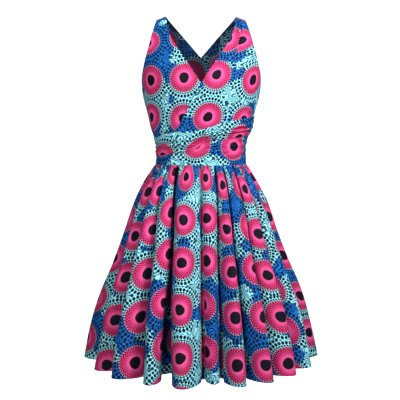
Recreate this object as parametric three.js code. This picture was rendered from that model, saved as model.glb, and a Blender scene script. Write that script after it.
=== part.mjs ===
// A sleeveless wrap-front dress with crossed back straps and a gathered, flared skirt.
// Millimetres, +Z up. The origin is on the mid-line at the height of the shoulder tops, the front
// faces -Y and +X is the wearer's left. The dress keeps the hollow form it has when worn: every
// piece is a thin closed wall of cloth, and neck, armholes and hem are open.
import * as THREE from 'three';

// ---- Driving dimensions ----
const CLOTH = 1.2; // thickness of every wall
const SEAM = 0.3; // gap between pieces that are sewn edge to edge
const LAYER = CLOTH + 0.6; // how far a piece that lies on another one is moved out
const WAIST_DROP = 405; // shoulder top to waist seam
const SKIRT_DROP = 540; // waist seam to hem, straight down
const SHOULDER = { inner: 97, outer: 122, slope: 0.4, slopeEnds: 120 };
const UNDERARM_DROP = 195;
const BUST = { drop: 182, angle: 30, rise: 7, spread: 46, spreadAngle: 24 };
const TUCK = 12; // how far a covered edge reaches under the piece that covers it

// Half-sections of the bodice, by the drop below the shoulder tops: half width, front depth and
// back depth, all measured from the mid-line.
const TORSO = [
  { drop: 0, width: 172, front: 0, back: 0 },
  { drop: 6, width: 172, front: 20, back: 18 },
  { drop: 18, width: 172, front: 38, back: 36 },
  { drop: 36, width: 172, front: 54, back: 52 },
  { drop: 60, width: 173, front: 68, back: 68 },
  { drop: 97, width: 172, front: 86, back: 84 },
  { drop: 142, width: 169, front: 101, back: 96 },
  { drop: 185, width: 163.5, front: 106, back: 100 },
  { drop: 225, width: 157, front: 104, back: 99 },
  { drop: 262, width: 147, front: 99, back: 95 },
  { drop: 300, width: 139, front: 95, back: 90 },
  { drop: 330, width: 129, front: 91, back: 85 },
  { drop: 358, width: 122, front: 88, back: 82 },
  { drop: 385, width: 122, front: 88, back: 82 },
  { drop: 405, width: 124, front: 90, back: 84 },
];

// Half a seam gap at the side seams, as an angle where the form is narrowest.
const WAIST_DEPTH = Math.min(...TORSO.filter((row) => row.drop > UNDERARM_DROP).map((row) => row.back));
const SIDE_GAP = THREE.MathUtils.radToDeg(SEAM / 2 / WAIST_DEPTH);

// Cut edges of one front bodice piece: its outer edge runs down the armhole and the side seam, its
// inner edge down the neckline and, below the V, on across the other piece (negative is past the
// mid-line). A side seam lies at the full half width.
const FRONT_EDGES = [
  { drop: 0, outer: 122, inner: 97 },
  { drop: 45, outer: 135, inner: 87 },
  { drop: 80, outer: 143, inner: 69 },
  { drop: 110, outer: 150, inner: 49 },
  { drop: 140, outer: 157, inner: 28 },
  { drop: 165, outer: 162, inner: 12 },
  { drop: 185, outer: 163.2, inner: 0 },
  { drop: 227, outer: 164, inner: -23 },
  { drop: 258, outer: 164, inner: -38 },
  { drop: 300, outer: 164, inner: -62 },
  { drop: 340, outer: 164, inner: -84 },
];
const FRONT_LEVELS = [0, 5, 14, 30, 52, 78, 106, 134, 160, 184, 208, 234];
const FRONT_COLUMNS = 20;
const FRONT_LOWER_ROWS = 4; // rows from the last level down to the midriff bands
const LAP_STARTS = 60; // drop by which the left front has risen over the right one
// The soft pleat let into the left shoulder: it runs down from the shoulder seam and dies out.
const SHOULDER_PLEAT = { at: 0.42, share: 0.16, depth: 4.5, starts: 12, ends: 130 };

// Drops of the edges of the two draped midriff bands, by the angle round the waist.
const BANDS = [
  { angle: -90, top: 336, split: 385 },
  { angle: -60, top: 327, split: 379 },
  { angle: -30, top: 314, split: 372 },
  { angle: -12, top: 312, split: 367 },
  { angle: 0, top: 308, split: 349 },
  { angle: 8, top: 302, split: 338 },
  { angle: 27, top: 288, split: 333 },
  { angle: 45, top: 280, split: 330 },
  { angle: 90, top: 271, split: 320 },
];
const BAND_COLUMNS = 30;
const UPPER_BAND = { rows: 6, puff: 2.6, rolls: 2, roll: 0.8 };
const LOWER_BAND = { rows: 5, puff: 2, rolls: 1.5, roll: 0.8 };
const BAND_LIP = 3; // how far above and below the upper band's edge the lower one lies flat

// The low back: its top edge scoops from the underarms to the middle.
const BACK = { columns: 32, rows: 6, middleDrop: 268 };

// Edges of one back strap, from the shoulder seam over the back to the far side, in sideways
// distance and drop: `upper` is the edge next to the neck, `lower` the one next to the arm.
const STRAP_EDGES = [
  { along: 0, upperX: 97, upperDrop: 0, lowerX: 122, lowerDrop: 0 },
  { along: 0.06, upperX: 93, upperDrop: 5, lowerX: 120, lowerDrop: 7 },
  { along: 0.13, upperX: 85, upperDrop: 14, lowerX: 117, lowerDrop: 22 },
  { along: 0.22, upperX: 71, upperDrop: 29, lowerX: 109, lowerDrop: 44 },
  { along: 0.34, upperX: 48, upperDrop: 54, lowerX: 92, lowerDrop: 82 },
  { along: 0.5, upperX: 8, upperDrop: 99, lowerX: 52, lowerDrop: 139 },
  { along: 0.66, upperX: -34, upperDrop: 145, lowerX: 10, lowerDrop: 186 },
  { along: 0.82, upperX: -78, upperDrop: 194, lowerX: -29, lowerDrop: 229 },
  { along: 1, upperX: -123, upperDrop: 244, lowerX: -67, lowerDrop: 271 },
];
const STRAP = { columns: 4, rows: 20, crossing: 0.58, lapFlat: 0.21, lapEnds: 0.39 };

// Envelope of the skirt, which its fold crests reach, by the drop below the waist seam; `fold`
// is how deep the folds are there, as a share of their depth at the hem.
const SKIRT = [
  { drop: 0, width: 126.5, front: 92.5, back: 86.5, fold: 0.045 },
  { drop: 12, width: 136, front: 102, back: 96, fold: 0.1 },
  { drop: 40, width: 155, front: 124, back: 119, fold: 0.18 },
  { drop: 90, width: 182, front: 155, back: 150, fold: 0.3 },
  { drop: 132, width: 199, front: 176, back: 171, fold: 0.38 },
  { drop: 186, width: 218, front: 203, back: 197, fold: 0.49 },
  { drop: 270, width: 249, front: 244, back: 236, fold: 0.64 },
  { drop: 386, width: 294, front: 300, back: 289, fold: 0.82 },
  { drop: 476, width: 318, front: 338, back: 325, fold: 0.94 },
  { drop: 540, width: 331, front: 360, back: 345, fold: 1 },
];
const SKIRT_LEVELS = [0, 10, 28, 60, 105, 160, 225, 300, 380, 460, 540];
const FOLD_COLUMNS = 8;
const FOLD_SWING = 1.6; // how fast a fold turns from its place at the waist to that at the hem

// Folds of the skirt, each from the valley where it starts to the next row's valley. `waist` and
// `hem` are the valley's angles, `valley` its depth and `crest` the crest's set-back at the hem,
// `lean` how far the crest leans over and `pinch` how steep its sides are.
const FRONT_FOLDS = [
  { waist: -90, hem: -97, valley: 62, crest: 0, lean: 0.04, pinch: 0.35 },
  { waist: -75, hem: -71, valley: 62, crest: 4, lean: 0.05, pinch: 0.4 },
  { waist: -60, hem: -50, valley: 78, crest: 0, lean: -0.12, pinch: 0.5 },
  { waist: -46, hem: -32, valley: 74, crest: 6, lean: 0, pinch: 0.75 },
  { waist: -31.5, hem: -17.5, valley: 104, crest: 0, lean: -0.03, pinch: 0.6 },
  { waist: 0, hem: 1.5, valley: 84, crest: 42, lean: 0, pinch: 0.3 },
  { waist: 18, hem: 11.5, valley: 76, crest: 6, lean: 0.02, pinch: 0.72 },
  { waist: 28, hem: 24.5, valley: 88, crest: 4, lean: 0.06, pinch: 0.5 },
  { waist: 43, hem: 40, valley: 66, crest: 6, lean: 0.1, pinch: 0.5 },
  { waist: 57, hem: 55, valley: 72, crest: 3, lean: 0, pinch: 0.45 },
  { waist: 72, hem: 75, valley: 64, crest: 0, lean: 0, pinch: 0.4 },
  { waist: 90, hem: 97, valley: 60 },
];
const BACK_FOLDS = [
  { waist: 90, hem: 97, valley: 60, crest: 2, lean: 0, pinch: 0.45 },
  { waist: 107, hem: 112, valley: 70, crest: 4, lean: 0.08, pinch: 0.5 },
  { waist: 126, hem: 131, valley: 84, crest: 0, lean: -0.05, pinch: 0.6 },
  { waist: 143, hem: 147, valley: 72, crest: 10, lean: 0, pinch: 0.7 },
  { waist: 161, hem: 166, valley: 90, crest: 0, lean: 0.06, pinch: 0.55 },
  { waist: 180, hem: 181, valley: 74, crest: 5, lean: 0, pinch: 0.5 },
  { waist: 199, hem: 199, valley: 88, crest: 0, lean: -0.08, pinch: 0.6 },
  { waist: 216, hem: 214, valley: 70, crest: 12, lean: 0, pinch: 0.65 },
  { waist: 234, hem: 233, valley: 80, crest: 2, lean: 0.05, pinch: 0.5 },
  { waist: 253, hem: 248, valley: 66, crest: 3, lean: 0, pinch: 0.45 },
  { waist: 270, hem: 263, valley: 62 },
];

// ---- Curves through the tables ----
const radians = THREE.MathUtils.degToRad;
const { lerp, clamp, smoothstep } = THREE.MathUtils;

// Reads a column of a table at a place between its rows, on a curve that never overshoots them.
function read(table, by, at, column) {
  const x = table.map((row) => row[by]);
  const y = table.map((row) => row[column]);
  const last = x.length - 1;
  const place = clamp(at, x[0], x[last]);
  const i = Math.min(last - 1, Math.max(0, x.findIndex((value) => value > place) - 1));
  const k = place >= x[last] ? last - 1 : i;
  const rise = (j) => (y[j + 1] - y[j]) / (x[j + 1] - x[j]);
  const slope = (j) => {
    if (j === 0) return rise(0);
    if (j === last) return rise(last - 1);
    const [before, after] = [rise(j - 1), rise(j)];
    return before * after <= 0 ? 0 : (2 * before * after) / (before + after);
  };
  const step = x[k + 1] - x[k];
  const t = (place - x[k]) / step;
  const start = (1 + 2 * t) * (1 - t) ** 2 * y[k] + t * (1 - t) ** 2 * step * slope(k);
  const end = t * t * (3 - 2 * t) * y[k + 1] + t * t * (t - 1) * step * slope(k + 1);
  return start + end;
}

// ---- The form the bodice is filled out to ----
// A point at an angle from the middle of the front (90 is the left side, 180 the middle of the
// back) and a drop below the shoulder tops.
function torsoPoint(angle, drop) {
  const turn = radians(angle);
  const inFront = Math.cos(turn) >= 0;
  const width = read(TORSO, 'drop', drop, 'width');
  const depth = read(TORSO, 'drop', drop, inFront ? 'front' : 'back');
  const across = (Math.abs(angle) - BUST.angle) / BUST.spreadAngle;
  const down = (drop - BUST.drop) / BUST.spread;
  const bust = inFront ? BUST.rise * Math.exp(-across * across - down * down) : 0;
  const x = width * Math.sin(turn);
  const y = -(depth + bust) * Math.cos(turn);
  const slopes = SHOULDER.slope * Math.max(0, 1 - drop / SHOULDER.slopeEnds);
  return new THREE.Vector3(x, y, -drop - slopes * Math.max(0, Math.abs(x) - SHOULDER.inner));
}

// The form's outward normal, from its slopes round it and down it.
function torsoNormal(angle, drop) {
  const across = torsoPoint(angle + 1, drop).sub(torsoPoint(angle - 1, drop));
  const down = torsoPoint(angle, drop + 1).sub(torsoPoint(angle, Math.max(0, drop - 1)));
  return down.cross(across).normalize();
}

// A place on the form that a wall can be raised on.
function torsoPlace(angle, drop) {
  return { point: torsoPoint(angle, drop), normal: torsoNormal(angle, drop) };
}

// The angle at which the front of the form is a given distance from the mid-line.
function frontAngle(x, drop) {
  const share = clamp(x / read(TORSO, 'drop', drop, 'width'), -1, 1);
  return THREE.MathUtils.radToDeg(Math.asin(share));
}

// ---- Walls ----
// A closed wall of cloth over a grid of places. Its inner face is the grid, moved out by `lift`
// along each place's normal, and its outer face lies one thickness further out. Rims close the
// four edges. No corner leaves the heights from `floor` to `ceiling`.
function wall(grid, { lift = () => 0, floor = -Infinity, ceiling = Infinity } = {}) {
  const rows = grid.length;
  const columns = grid[0].length;
  const positions = [];
  for (const depth of [0, CLOTH]) {
    grid.forEach((row, r) => {
      row.forEach(({ point, normal }, c) => {
        const moved = point.clone().addScaledVector(normal, lift(r, c) + depth);
        positions.push(moved.x, moved.y, clamp(moved.z, floor, ceiling));
      });
    });
  }
  const at = (side, r, c) => side * rows * columns + r * columns + c;
  const index = [];
  // A quad is split along its shorter diagonal, so that the wall follows the form closely.
  const corner = (i) => new THREE.Vector3().fromArray(positions, 3 * i);
  const span = (i, j) => corner(i).distanceTo(corner(j));
  const quad = (a, b, c, d) => {
    if (span(a, c) <= span(b, d)) index.push(a, b, c, a, c, d);
    else index.push(b, c, d, b, d, a);
  };
  for (let r = 0; r < rows - 1; r += 1) {
    for (let c = 0; c < columns - 1; c += 1) {
      quad(at(1, r, c), at(1, r + 1, c), at(1, r + 1, c + 1), at(1, r, c + 1));
      quad(at(0, r, c), at(0, r, c + 1), at(0, r + 1, c + 1), at(0, r + 1, c));
    }
    quad(at(0, r, 0), at(0, r + 1, 0), at(1, r + 1, 0), at(1, r, 0));
    quad(at(0, r + 1, columns - 1), at(0, r, columns - 1), at(1, r, columns - 1), at(1, r + 1, columns - 1));
  }
  for (let c = 0; c < columns - 1; c += 1) {
    quad(at(0, 0, c + 1), at(0, 0, c), at(1, 0, c), at(1, 0, c + 1));
    quad(at(0, rows - 1, c), at(0, rows - 1, c + 1), at(1, rows - 1, c + 1), at(1, rows - 1, c));
  }
  const geometry = new THREE.BufferGeometry();
  geometry.setAttribute('position', new THREE.Float32BufferAttribute(positions, 3));
  geometry.setIndex(enclosedVolume(positions, index) < 0 ? index.reverse() : index);
  geometry.computeVertexNormals();
  return geometry;
}

function enclosedVolume(positions, index) {
  const corner = (i) => new THREE.Vector3().fromArray(positions, 3 * index[i]);
  let volume = 0;
  for (let i = 0; i < index.length; i += 3) {
    volume += corner(i).dot(corner(i + 1).cross(corner(i + 2))) / 6;
  }
  return volume;
}

const steps = (count) => Array.from({ length: count + 1 }, (_, i) => i / count);

// ---- Pieces of the bodice ----
// One front piece; side is 1 for the wearer's left and -1 for the right. The left piece lies on
// the right one, and its shoulder has a soft pleat.
function frontBodice(side) {
  const last = FRONT_LEVELS.length - 1;
  const angleAt = (drop, share) => {
    const edge = frontAngle(read(FRONT_EDGES, 'drop', drop, 'outer'), drop);
    const outer = Math.min(edge, 90 - SIDE_GAP);
    const inner = frontAngle(read(FRONT_EDGES, 'drop', drop, 'inner'), drop);
    return side * lerp(outer, inner, share);
  };
  // Below the last level the rows close up on the line where the upper band covers the edge.
  const dropAt = (r, share) => {
    if (r <= last) return FRONT_LEVELS[r];
    const down = (r - last) / FRONT_LOWER_ROWS;
    const nominal = lerp(FRONT_LEVELS[last], FRONT_EDGES.at(-1).drop, down);
    const end = read(BANDS, 'angle', angleAt(nominal, share), 'top') + TUCK;
    return lerp(FRONT_LEVELS[last], end, down);
  };
  const pleat = (share, drop) => {
    const across = (share - SHOULDER_PLEAT.at) / SHOULDER_PLEAT.share;
    const fades = Math.max(0, 1 - drop / SHOULDER_PLEAT.ends);
    const starts = smoothstep(drop, 0, SHOULDER_PLEAT.starts);
    return SHOULDER_PLEAT.depth * Math.exp(-across * across) * Math.sqrt(fades) * starts;
  };
  const grid = steps(last + FRONT_LOWER_ROWS).map((_, r) =>
    steps(FRONT_COLUMNS).map((share) => {
      const drop = dropAt(r, share);
      const place = torsoPlace(angleAt(drop, share), drop);
      if (r === 0) place.point.y -= SEAM / 2;
      return place;
    }),
  );
  const lift = (r, c) => {
    if (side < 0) return 0;
    const drop = FRONT_LEVELS[Math.min(r, last)];
    return LAYER * smoothstep(drop, 0, LAP_STARTS) - pleat(c / FRONT_COLUMNS, drop);
  };
  return wall(grid, { lift });
}

// Soft rolls along a draped band, from its upper edge (0) to its lower one (1).
function drape(share, band, angle) {
  const crown = Math.sin(Math.PI * share);
  const rolls = Math.sin(2 * Math.PI * band.rolls * share + radians(angle));
  return crown * (band.puff + band.roll * rolls);
}

function midriffBand(band, upper) {
  const end = 90 - SIDE_GAP;
  const angles = steps(BAND_COLUMNS).map((share) => lerp(-end, end, share));
  // The lower band starts flat under the upper one's edge, and its rolls begin clear of it.
  const rowsAt = (angle) => {
    const top = read(BANDS, 'angle', angle, 'top');
    const split = read(BANDS, 'angle', angle, 'split');
    const shown = (from, to) =>
      steps(band.rows).map((share) => ({ drop: lerp(from, to, share), share }));
    if (upper) return shown(top, split);
    return [{ drop: split - TUCK, share: 0 }, ...shown(split + BAND_LIP, WAIST_DROP)];
  };
  const count = rowsAt(0).length;
  const grid = Array.from({ length: count }, (_, r) =>
    angles.map((angle) => torsoPlace(angle, rowsAt(angle)[r].drop)),
  );
  const base = upper ? 2 * LAYER : LAYER;
  const lift = (r, c) => base + drape(rowsAt(angles[c])[r].share, band, angles[c]);
  return wall(grid, { lift, floor: -WAIST_DROP });
}

function backBodice() {
  const start = 90 + SIDE_GAP;
  const grid = steps(BACK.rows).map((down) =>
    steps(BACK.columns).map((share) => {
      const angle = lerp(start, 360 - start, share);
      const top = lerp(UNDERARM_DROP, BACK.middleDrop, Math.cos(radians(angle)) ** 2);
      return torsoPlace(angle, lerp(top, WAIST_DROP, down));
    }),
  );
  return wall(grid, { lift: () => LAYER, floor: -WAIST_DROP });
}

// One back strap; side is the shoulder it starts from. The left one passes outside the other.
function backStrap(side) {
  const grid = steps(STRAP.rows).map((along) =>
    steps(STRAP.columns).map((share) => {
      const edge = (column) => read(STRAP_EDGES, 'along', along, column);
      const x = lerp(edge('upperX'), edge('lowerX'), share) * side;
      const drop = lerp(edge('upperDrop'), edge('lowerDrop'), share);
      const place = torsoPlace(180 - frontAngle(x, drop), drop);
      if (along === 0) place.point.y += SEAM / 2;
      return place;
    }),
  );
  const lift = (r) => {
    if (side < 0) return 0;
    const away = Math.abs(r / STRAP.rows - STRAP.crossing);
    return LAYER * (1 - smoothstep(away, STRAP.lapFlat, STRAP.lapEnds));
  };
  return wall(grid, { lift });
}

// ---- Skirt ----
function skirtPoint(fold, next, across, drop) {
  const swing = 1 - (1 - drop / SKIRT_DROP) ** FOLD_SWING;
  const crown = (1 - Math.cos(2 * Math.PI * across)) / 2;
  const sides = (fold.pinch * Math.sin(2 * Math.PI * across)) / (2 * Math.PI);
  const place = across - sides + fold.lean * crown * swing;
  const angle = radians(
    lerp(lerp(fold.waist, next.waist, place), lerp(fold.hem, next.hem, place), swing),
  );
  const valley = lerp(fold.valley, next.valley, across);
  const depth = read(SKIRT, 'drop', drop, 'fold') * (valley * (1 - crown) + fold.crest * crown);
  const width = read(SKIRT, 'drop', drop, 'width') - depth;
  const reach = read(SKIRT, 'drop', drop, Math.cos(angle) >= 0 ? 'front' : 'back') - depth;
  return new THREE.Vector3(
    width * Math.sin(angle),
    -reach * Math.cos(angle),
    -WAIST_DROP - SEAM - drop,
  );
}

// Rows of points round the folds of a table, from its first valley to its last.
function foldRows(folds) {
  return SKIRT_LEVELS.map((drop) => {
    const row = [skirtPoint(folds[0], folds[1], 0, drop)];
    folds.slice(0, -1).forEach((fold, i) => {
      steps(FOLD_COLUMNS)
        .slice(1)
        .forEach((across) => row.push(skirtPoint(fold, folds[i + 1], across, drop)));
    });
    return row;
  });
}

// One panel of the skirt. Its neighbour's rows give the normals at the side seams, so both
// panels' walls stand square to the cloth there.
function skirtPanel(folds, neighbour) {
  const rows = foldRows(folds);
  const others = foldRows(neighbour);
  const last = rows[0].length - 1;
  const normal = (r, c) => {
    const up = rows[Math.max(r - 1, 0)][c];
    const below = rows[Math.min(r + 1, rows.length - 1)][c];
    const before = c > 0 ? rows[r][c - 1] : others[r].at(-2);
    const after = c < last ? rows[r][c + 1] : others[r][1];
    return below.clone().sub(up).cross(after.clone().sub(before)).normalize();
  };
  const grid = rows.map((row, r) =>
    row.map((point, c) => ({ point: point.clone(), normal: normal(r, c) })),
  );
  grid.forEach((row) => {
    for (const [end, inside] of [[0, 1], [last, last - 1]]) {
      const inwards = row[inside].point.clone().sub(row[end].point);
      inwards.addScaledVector(row[end].normal, -inwards.dot(row[end].normal)).normalize();
      row[end].point.addScaledVector(inwards, SEAM / 2);
    }
  });
  return wall(grid, { ceiling: -WAIST_DROP - SEAM });
}

// ---- The dress ----
// Printed cotton, in the colour that the print has most of on a piece.
const cotton = (color) => new THREE.MeshStandardMaterial({ color, roughness: 0.8, metalness: 0 });

function piece(name, geometry, color) {
  const mesh = new THREE.Mesh(geometry, cotton(color));
  mesh.name = name;
  return mesh;
}

const dress = new THREE.Group();
dress.name = 'dress';
dress.add(
  piece('front_bodice_right', frontBodice(-1), 0xc8437f),
  piece('front_bodice_left', frontBodice(1), 0xd24a86),
  piece('midriff_band_upper', midriffBand(UPPER_BAND, true), 0xd9508c),
  piece('midriff_band_lower', midriffBand(LOWER_BAND, false), 0x4fb3c4),
  piece('back_bodice', backBodice(), 0x2c6fb8),
  piece('back_strap_right', backStrap(-1), 0x2f5f9e),
  piece('back_strap_left', backStrap(1), 0x4a7f8c),
  piece('skirt_front', skirtPanel(FRONT_FOLDS, BACK_FOLDS), 0x57b7c8),
  piece('skirt_back', skirtPanel(BACK_FOLDS, FRONT_FOLDS), 0x4ba9bd),
);

export default dress;
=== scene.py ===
import math

import bpy
import numpy as np
from mathutils import Euler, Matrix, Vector


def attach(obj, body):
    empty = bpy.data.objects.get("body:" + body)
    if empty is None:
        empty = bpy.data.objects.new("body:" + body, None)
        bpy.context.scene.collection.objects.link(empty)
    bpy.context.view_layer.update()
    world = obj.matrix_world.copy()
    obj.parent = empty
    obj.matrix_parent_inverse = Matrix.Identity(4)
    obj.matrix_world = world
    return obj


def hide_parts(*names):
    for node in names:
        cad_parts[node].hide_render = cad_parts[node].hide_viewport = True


bl_info = {
    "name": "Wrap-front dress",
    "version": (1, 0, 0),
    "blender": (4, 5, 0),
    "location": "View3D > Sidebar > Dress",
    "description": "A printed cotton dress with a wrap front, crossed straps and a gathered skirt",
    "category": "Object",
}

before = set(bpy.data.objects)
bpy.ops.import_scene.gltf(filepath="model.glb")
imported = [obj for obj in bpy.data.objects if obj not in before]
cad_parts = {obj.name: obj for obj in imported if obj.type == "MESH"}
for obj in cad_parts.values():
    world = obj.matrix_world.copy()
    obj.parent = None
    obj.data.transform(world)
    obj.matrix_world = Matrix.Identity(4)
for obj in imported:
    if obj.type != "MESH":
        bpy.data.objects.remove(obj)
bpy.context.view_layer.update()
BODY = "root"

# ---------------------------------------------------------------------------------------------
# Sizes. The form is worked out in millimetres, as a dressmaker measures it, and make_mesh turns
# it into metres. The front faces -Y and +X is the wearer's left.
# ---------------------------------------------------------------------------------------------
MM = 0.001
WALL = 1.2  # the solids' walls, whose outer faces the cloth follows
SEAM = 0.3
LAYER = WALL + 0.6
WAIST_DROP = 405
SKIRT_DROP = 540
UNDERARM_DROP = 195
SHOULDER = {"inner": 97, "slope": 0.4, "ends": 120}
BUST = {"drop": 182, "angle": 30, "rise": 7, "spread": 46, "spread_angle": 24}
TUCK = 12
BODICE_EASE = 1.08  # cloth taken up by the bodice's drape
BODY_SPREAD = (2.1, 1)  # millimetres for a degree round the body and for a millimetre down it
STITCH_LIFT = 0.1
SHARP_EDGE = math.radians(70)
PITCH = (117, 119)  # from one printed roundel to the next, across the cloth and down it


class Table:
    """Rows of sizes with named columns, read on a curve that never overshoots the rows."""

    def __init__(self, columns, *rows):
        self.columns = {
            name: np.array([row[i] for row in rows], float)
            for i, name in enumerate(columns.split())
        }
        self.rows = [dict(zip(columns.split(), row)) for row in rows]
        self.by = self.columns[columns.split()[0]]

    def __getitem__(self, name):
        return self.columns[name]

    def read(self, at, name):
        x, y = self.by, self.columns[name]
        at = np.clip(np.asarray(at, float), x[0], x[-1])
        rise = np.diff(y) / np.diff(x)
        both = rise[:-1] * rise[1:]
        inner = np.where(both > 0, 2 * both / np.where(both > 0, rise[:-1] + rise[1:], 1), 0)
        slope = np.concatenate([rise[:1], inner, rise[-1:]])
        k = np.clip(np.searchsorted(x, at, side="right") - 1, 0, len(x) - 2)
        step = x[k + 1] - x[k]
        t = (at - x[k]) / step
        start = (1 + 2 * t) * (1 - t) ** 2 * y[k] + t * (1 - t) ** 2 * step * slope[k]
        end = t * t * (3 - 2 * t) * y[k + 1] + t * t * (t - 1) * step * slope[k + 1]
        return start + end


# The form's half width and its depths to the front and the back, by the drop from the shoulder
TORSO = Table(
    "drop width front back",
    (0, 172, 0, 0),
    (6, 172, 20, 18),
    (18, 172, 38, 36),
    (36, 172, 54, 52),
    (60, 173, 68, 68),
    (97, 172, 86, 84),
    (142, 169, 101, 96),
    (185, 163.5, 106, 100),
    (225, 157, 104, 99),
    (262, 147, 99, 95),
    (300, 139, 95, 90),
    (330, 129, 91, 85),
    (358, 122, 88, 82),
    (385, 122, 88, 82),
    (405, 124, 90, 84),
)
SIDE_GAP = math.degrees(SEAM / 2 / TORSO["back"][TORSO["drop"] > UNDERARM_DROP].min())

# How far from the mid-line a front piece's outer edge and its neck edge lie, by the drop
FRONT_EDGES = Table(
    "drop outer inner",
    (0, 122, 97),
    (45, 135, 87),
    (80, 143, 69),
    (110, 150, 49),
    (140, 157, 28),
    (165, 162, 12),
    (185, 163.2, 0),
    (227, 164, -23),
    (258, 164, -38),
    (300, 164, -62),
    (340, 164, -84),
)
FRONT_LEVELS = (0, 5, 14, 30, 52, 78, 106, 134, 160, 184, 208, 234)
LAP_RISE = 60  # the drop over which the left front rises over the right one
# The pleat's place and width are shares of the piece's width. It fades out down the piece, and
# so does the jump that its tucked cloth makes in the print.
SHOULDER_PLEAT = {"at": 0.64, "share": 0.14, "depth": 4.5, "starts": 12, "ends": 130}
PLEAT_TUCK = {"cloth": -50, "whole_to": 40, "ends": 160}
# The pleat's troughs and the ridge between them, in shares of its width and depth
PLEAT_GROOVES = Table(
    "place depth width",
    (0, 1, 0.55),
    (0.8, -0.6, 0.45),
    (1.5, 0.7, 0.4),
)

# The upper edge of the upper band, and the line where the two bands meet, by the angle
BANDS = Table(
    "angle top split",
    (-90, 336, 385),
    (-60, 327, 379),
    (-30, 314, 372),
    (-12, 312, 367),
    (0, 308, 349),
    (8, 302, 338),
    (27, 288, 333),
    (45, 280, 330),
    (90, 271, 320),
)
BAND_LIP = 3
# What is left of a band's puff and creases at the side seams, and how far in they are whole
BAND_SIDES = {"puff": 0.1, "puff_over": 30, "crease": 0.25, "crease_over": 15}
BAND_EDGE = 5  # how steeply the creases rise from a band's two edges
UPPER_BAND = {"layers": 2, "puff": 4.2, "rolls": 2, "roll": 0.8}
LOWER_BAND = {"layers": 1, "puff": 3.4, "rolls": 1.5, "roll": 0.8}
BACK_MIDDLE_DROP = 268

# The two edges of the left strap, across from the mid-line and down, by the share of its length
STRAP_EDGES = Table(
    "along upper_x upper_drop lower_x lower_drop",
    (0, 97, 0, 122, 0),
    (0.06, 93, 5, 120, 7),
    (0.13, 85, 14, 117, 22),
    (0.22, 71, 29, 109, 44),
    (0.34, 48, 54, 92, 82),
    (0.5, 8, 99, 52, 139),
    (0.66, -34, 145, 10, 186),
    (0.82, -78, 194, -29, 229),
    (1, -123, 244, -67, 271),
)
# Where the left strap lies over the right one, in shares of its length, and its cut's width
STRAP = {"crossing": 0.58, "lap_flat": 0.21, "lap_ends": 0.39, "cut": 0.062}

# The half width and the depths that the folds' crests reach, by the drop from the waist. fold is
# how much of their depth at the hem the folds have there.
SKIRT = Table(
    "drop width front back fold",
    (0, 126.5, 92.5, 86.5, 0.045),
    (12, 136, 102, 96, 0.1),
    (40, 155, 124, 119, 0.18),
    (90, 182, 155, 150, 0.3),
    (132, 199, 176, 171, 0.38),
    (186, 218, 203, 197, 0.49),
    (270, 249, 244, 236, 0.64),
    (386, 294, 300, 289, 0.82),
    (476, 318, 338, 325, 0.94),
    (540, 331, 360, 345, 1),
)
SKIRT_LEVELS = (0, 10, 28, 60, 105, 160, 225, 300, 380, 460, 540)
FOLD_SWING = 1.6  # how soon the folds turn from their angles at the waist to those at the hem
# A row is a fold: it starts in a valley, at one angle at the waist and another at the hem, and
# ends in the next row's. valley and crest are how far in from the outline the cloth lies at the
# hem. lean moves the crest aside by a share of the fold, and pinch narrows the valley. slit is
# the depth of the narrow slit along the valley's bottom. The others place the print on the
# fold: a roundel's middle lies beside the crest, at the hem by its drift less, and its row lies
# that far down. skip and rows_skipped are whole roundels, across and down, that move the fold
# to other patches of blue.
FRONT_FOLDS = Table(
    "waist hem valley crest lean pinch beside drift row slit skip rows_skipped",
    (-90, -97, 62, 0, 0.04, 0.35, -5, 0, 62, 12, 2, -2),
    (-75, -71, 62, 4, 0.05, 0.4, 8, -24, 96, 14, 5, -8),
    (-60, -50, 78, 0, -0.12, 0.5, 20, -28, 80, 17, -7, -8),
    (-46, -32, 74, 6, 0, 0.75, 28, -15, 26, 20, 8, -1),
    (-31.5, -17.5, 104, 0, -0.03, 0.6, -7, 0, 38, 44, 2, -9),
    (0, 1.5, 84, 42, 0, 0.3, -17, 24, 38, 10, 11, -9),
    (18, 11.5, 76, 6, 0.02, 0.72, -2, 20, 64, 22, 7, -8),
    (28, 24.5, 88, 4, 0.06, 0.5, 32, 50, 66, 38, -9, 1),
    (43, 40, 66, 6, 0.1, 0.5, -12, 12, 84, 14, -10, -6),
    (57, 55, 72, 3, 0, 0.45, 34, -14, 14, 20, 6, -10),
    (72, 75, 64, 0, 0, 0.4, -30, 0, 48, 14, -7, -1),
    (90, 97, 60, 0, 0, 0, 0, 0, 0, 12, 0, 0),
)
BACK_FOLDS = Table(
    "waist hem valley crest lean pinch beside drift row slit skip rows_skipped",
    (90, 97, 60, 2, 0, 0.45, 20, 8, 52, 12, 1, 2),
    (107, 112, 70, 4, 0.08, 0.5, -14, -16, 60, 16, -3, 4),
    (126, 131, 84, 0, -0.05, 0.6, 10, 20, 34, 26, 2, -5),
    (143, 147, 72, 10, 0, 0.7, 34, -10, 28, 18, 6, 3),
    (161, 166, 90, 0, 0.06, 0.55, -8, 14, 70, 28, -4, -2),
    (180, 181, 74, 5, 0, 0.5, 16, -22, 74, 16, 3, 7),
    (199, 199, 88, 0, -0.08, 0.6, -22, 10, 42, 28, -6, 5),
    (216, 214, 70, 12, 0, 0.65, 5, 18, 38, 18, 4, -7),
    (234, 233, 80, 2, 0.05, 0.5, 28, -12, 82, 24, -2, -3),
    (253, 248, 66, 3, 0, 0.45, -10, 6, 66, 14, 5, 1),
    (270, 263, 62, 0, 0, 0, 0, 0, 0, 12, 0, 0),
)

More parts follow.
